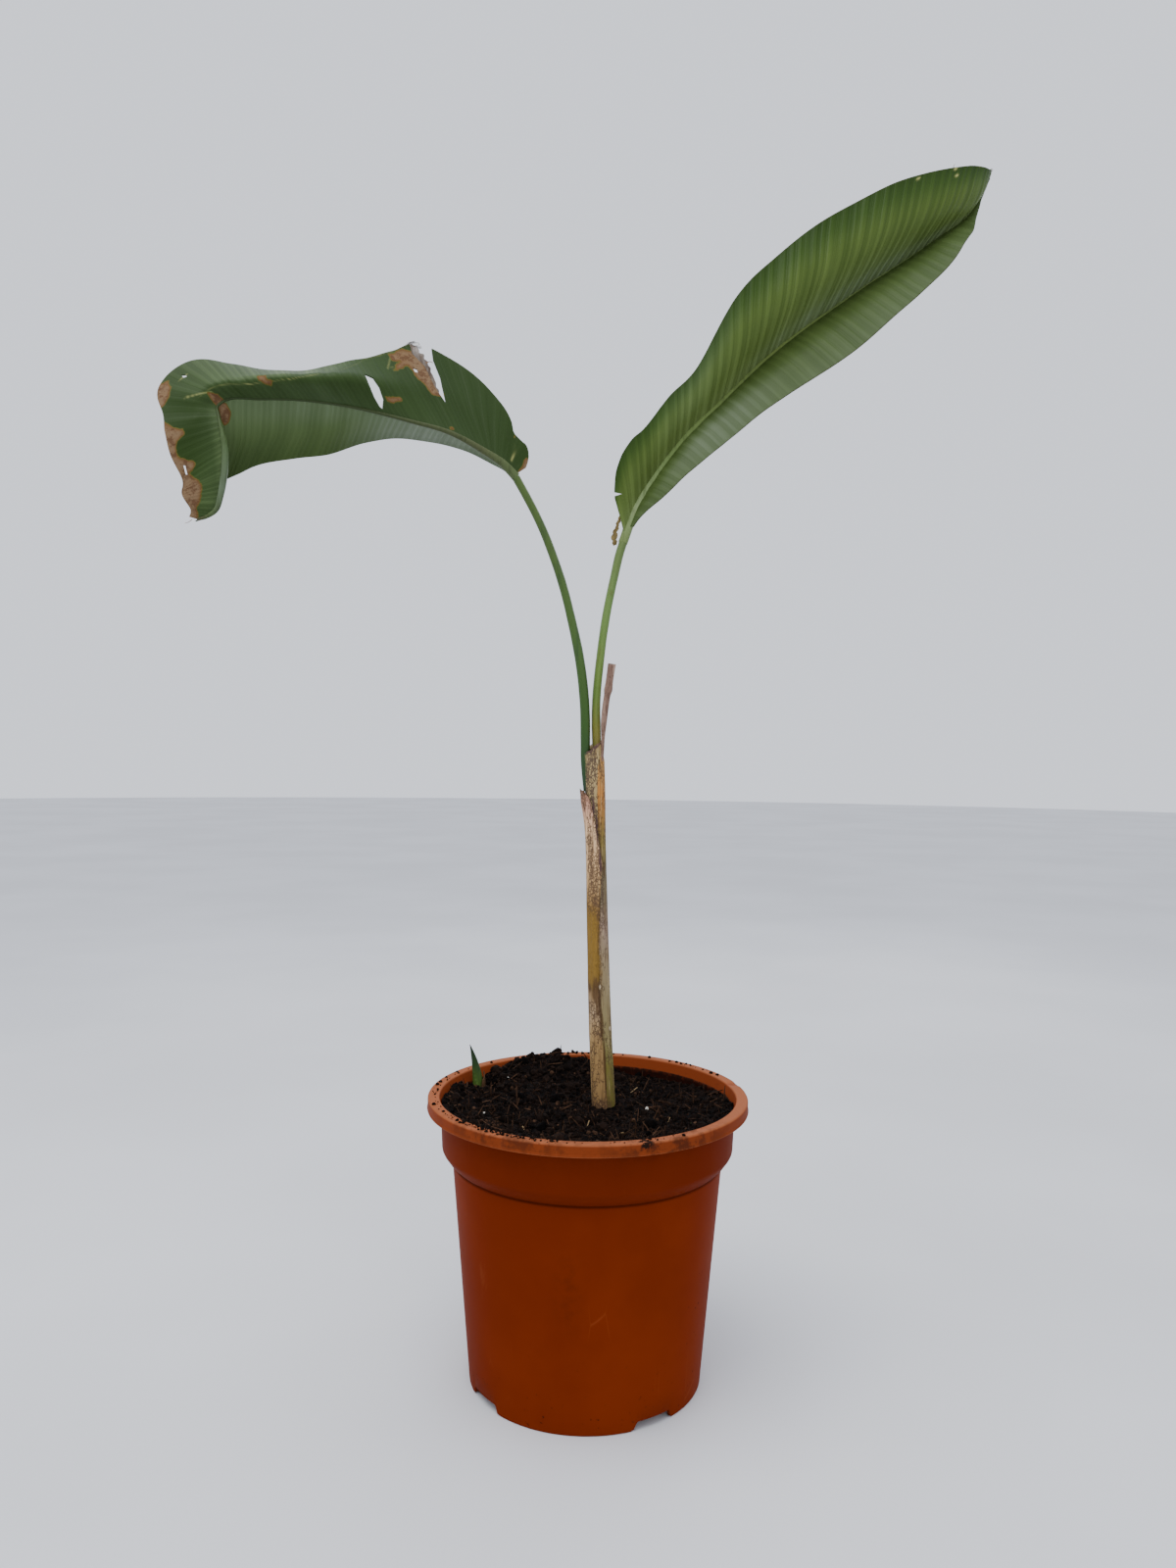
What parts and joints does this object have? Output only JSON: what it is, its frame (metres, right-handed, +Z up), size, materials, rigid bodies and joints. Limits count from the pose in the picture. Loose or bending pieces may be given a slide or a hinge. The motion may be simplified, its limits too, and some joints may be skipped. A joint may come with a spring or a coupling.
{
  "type": "potted foliage plant",
  "caption": "Young heliconia plant: a slim sheathed stem forks into two long stalked leaves, one upright and one drooping, in a round nursery pot filled with compost.",
  "frame": {"origin": "centre of the pot's underside, on the pot's axis, in the plane the pot stands on", "axes": "+Z up along the pot's axis; +X towards the upright leaf's side; -Y towards the front"},
  "size_m": [0.5491, 0.21, 0.8203],
  "materials": {
    "terracotta": "satin terracotta-coloured moulded plastic",
    "compost": "dark, loose and fibrous",
    "stem": "matte tan sheath with dark specks",
    "dry": "matte, dry and papery",
    "stalk": "satin green",
    "leaf": "satin deep green with close parallel veins"
  },
  "bodies": {
    "root": {"pot": "terracotta", "compost": "compost", "stem": "stem", "old_sheath": "stem", "dry_sheath": "dry", "dry_petiole": "dry", "left_petiole": "stalk", "right_petiole": "stalk", "left_leaf": "leaf", "left_leaf_tip": "leaf", "right_leaf": "leaf", "shoot": "leaf", "shoot_scale": "dry"}
  },
  "joints": []
}
